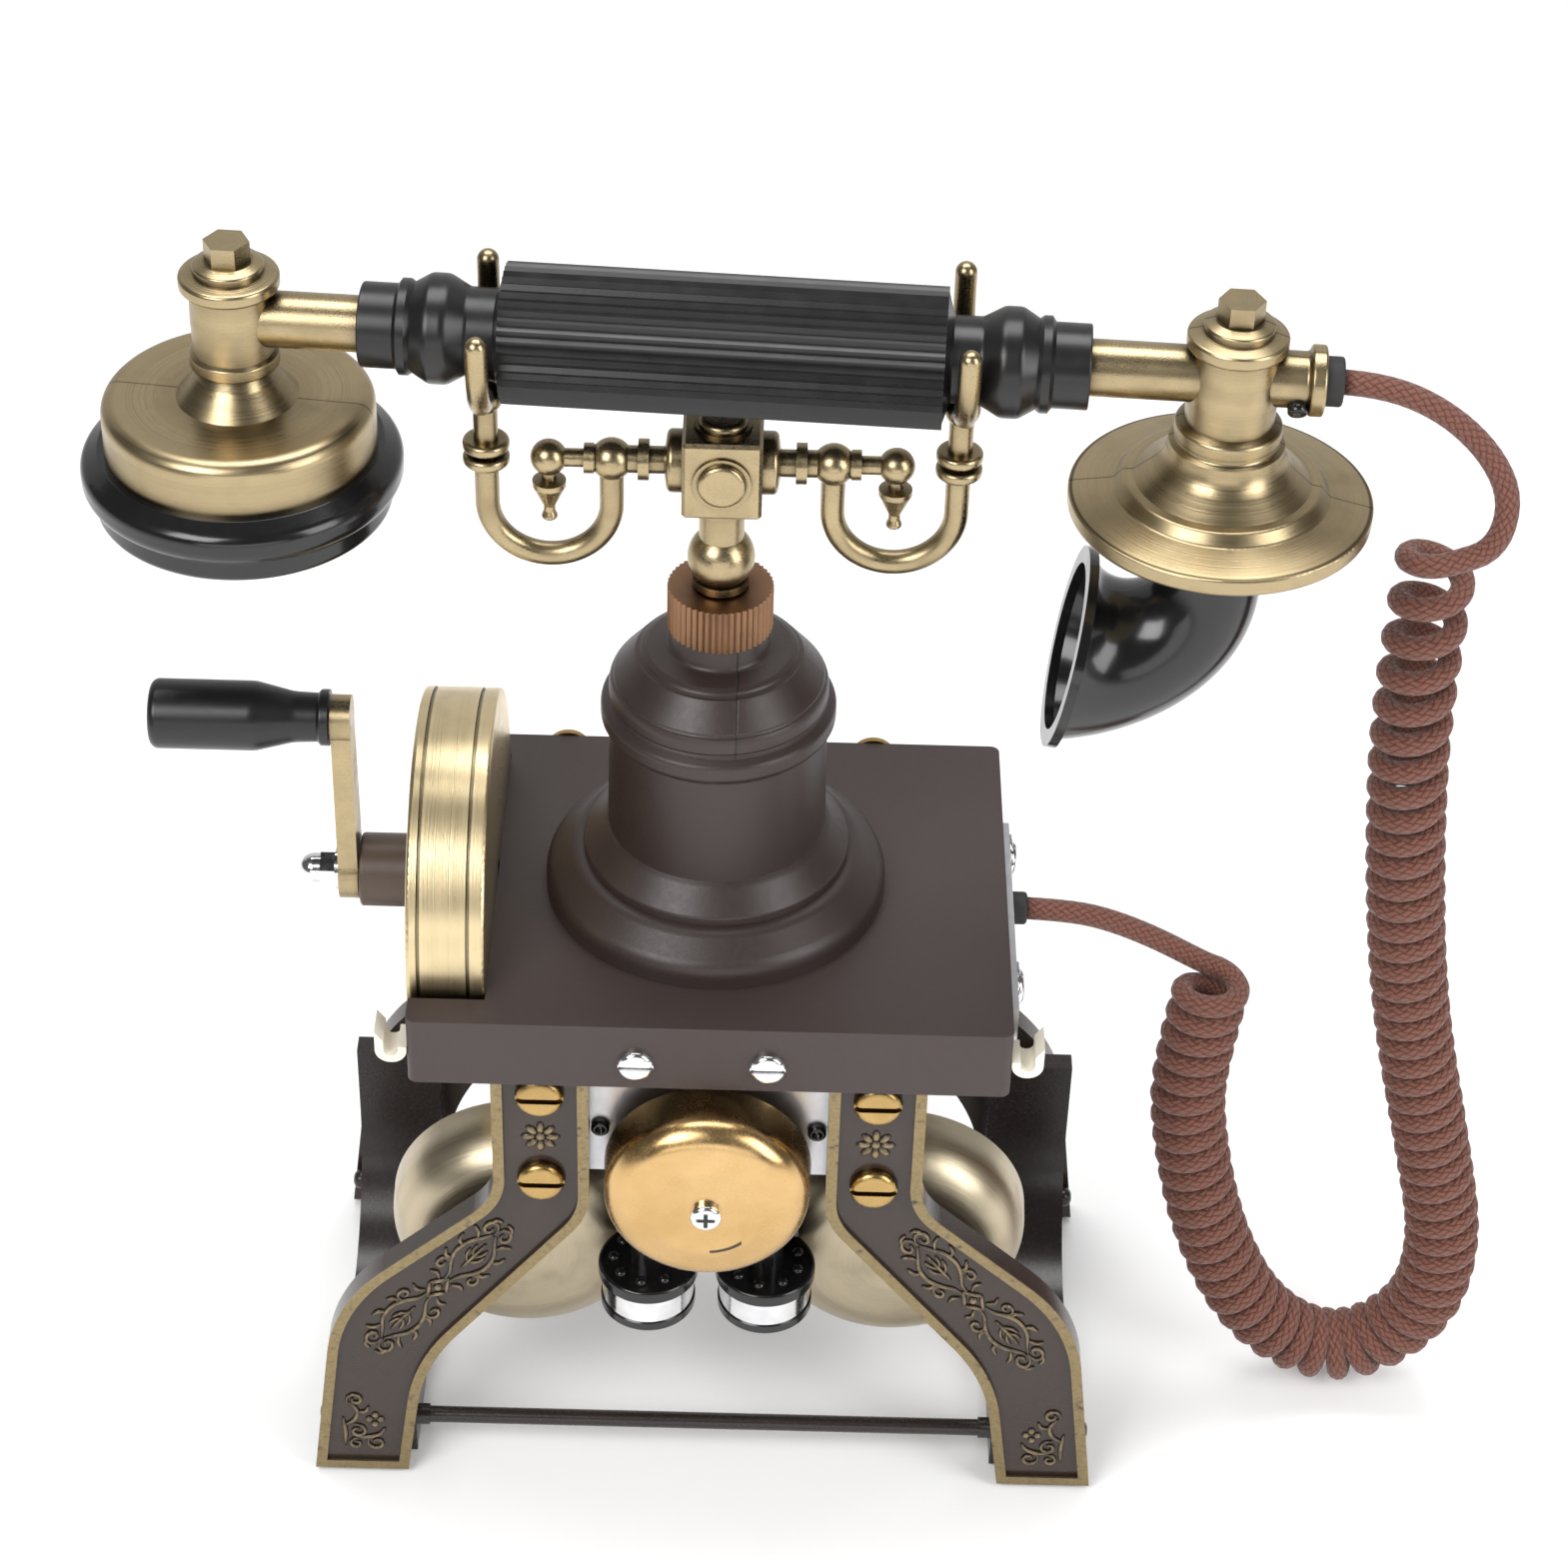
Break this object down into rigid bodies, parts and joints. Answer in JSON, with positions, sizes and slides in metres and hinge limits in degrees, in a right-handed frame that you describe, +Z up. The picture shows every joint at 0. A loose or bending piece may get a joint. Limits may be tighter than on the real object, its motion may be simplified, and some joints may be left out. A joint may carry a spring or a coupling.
{
  "type": "telephone",
  "caption": "Antique-style desk telephone on an open four-legged frame, with a wheel drum and hand crank, exposed bell ringer, hook cradle, resting handset and curly cord.",
  "frame": {"origin": "on the table, under the middle of the telephone without its cord", "axes": "+Z up, +X toward the mouthpiece end of the resting handset, -Y toward the front gong"},
  "size_m": [0.3085, 0.1136, 0.2937],
  "materials": {
    "brown_lacquer": "matte warm brown lacquer",
    "leg_lacquer": "dark brown lacquer with brass-rubbed edges",
    "black_lacquer": "semi-gloss black lacquer",
    "antique_brass": "brushed antique brass",
    "drum_brass": "turned brass",
    "gold_brass": "polished brass",
    "gong_brass": "satin pale brass",
    "screw_brass": "bright brass",
    "bronze": "knurled bronze",
    "satin_black": "satin",
    "gloss_black": "gloss",
    "chrome": "bright chrome",
    "steel": "plain zinc-plated steel",
    "ivory": "moulded ivory",
    "rubber": "matte",
    "cord_fabric": "braided"
  },
  "bodies": {
    "base": {"top_plate": "brown_lacquer", "pedestal": "brown_lacquer", "knurled_nut": "bronze", "front_leg_right": "leg_lacquer", "front_leg_left": "leg_lacquer", "rear_leg_right": "leg_lacquer", "rear_leg_left": "leg_lacquer", "leg_screws": "screw_brass", "side_sill_right": "black_lacquer", "side_sill_left": "black_lacquer", "stretcher_rods": "black_lacquer", "stretcher_nuts": "black_lacquer", "foot_pads": "rubber", "cross_plate_front": "steel", "cross_plate_rear": "steel", "ringer_base": "gloss_black", "coil_bobbins": "gloss_black", "coil_bands": "steel", "gong_left": "gong_brass", "gong_right": "gong_brass", "front_gong": "gold_brass", "gong_screws": "chrome", "front_gong_post": "steel", "gong_bracket": "steel", "clapper_pin": "steel", "side_lugs": "ivory", "cord_bracket": "steel", "chrome_screws": "chrome", "rear_lip_screws": "screw_brass", "base_gland": "rubber", "wheel_drum": "drum_brass", "crank_boss": "brown_lacquer", "hook_spring": "steel"},
    "crank": {"crank_arm": "antique_brass", "crank_shaft": "steel", "crank_nut": "chrome", "grip_pin": "steel"},
    "grip": {"crank_grip": "satin_black"},
    "clapper": {"clapper": "steel"},
    "cradle": {"cradle_stem": "antique_brass", "cradle_block": "antique_brass", "cradle_arm_right": "antique_brass", "cradle_arm_left": "antique_brass", "cradle_fork_right": "antique_brass", "cradle_fork_left": "antique_brass"},
    "handset": {"handset_grip": "satin_black", "handset_collar_right": "gloss_black", "handset_collar_left": "gloss_black", "handset_tubes": "antique_brass", "ear_post": "antique_brass", "ear_dome": "antique_brass", "ear_cap": "gloss_black", "mouth_post": "antique_brass", "mouth_disc": "antique_brass", "mouth_horn": "gloss_black", "post_nuts": "antique_brass", "handset_gland": "rubber", "cord": "cord_fabric"}
  },
  "joints": [
    {"name": "crank_turn", "type": "hinge", "parent": "base", "child": "crank", "pos_m": [-0.07, 0.0052, 0.142], "axis": [1, 0, 0], "continuous": true},
    {"name": "grip_spin", "type": "hinge", "parent": "crank", "child": "grip", "pos_m": [-0.1, 0.0052, 0.183], "axis": [1, 0, 0], "continuous": true},
    {"name": "clapper_swing", "type": "hinge", "parent": "base", "child": "clapper", "pos_m": [0, -0.0078, 0.093], "axis": [0, 1, 0], "range_deg": [-9, 9]},
    {"name": "hook_lift", "type": "slide", "parent": "base", "child": "cradle", "axis": [0, 0, 1], "range_m": [0, 0.003], "stiffness_N_per_m": 100, "springref_m": 0.025, "deforming": ["hook_spring"]},
    {"name": "handset_lift", "type": "slide", "parent": "cradle", "child": "handset", "axis": [0, 0, 1], "range_m": [0, 0.06]}
  ]
}
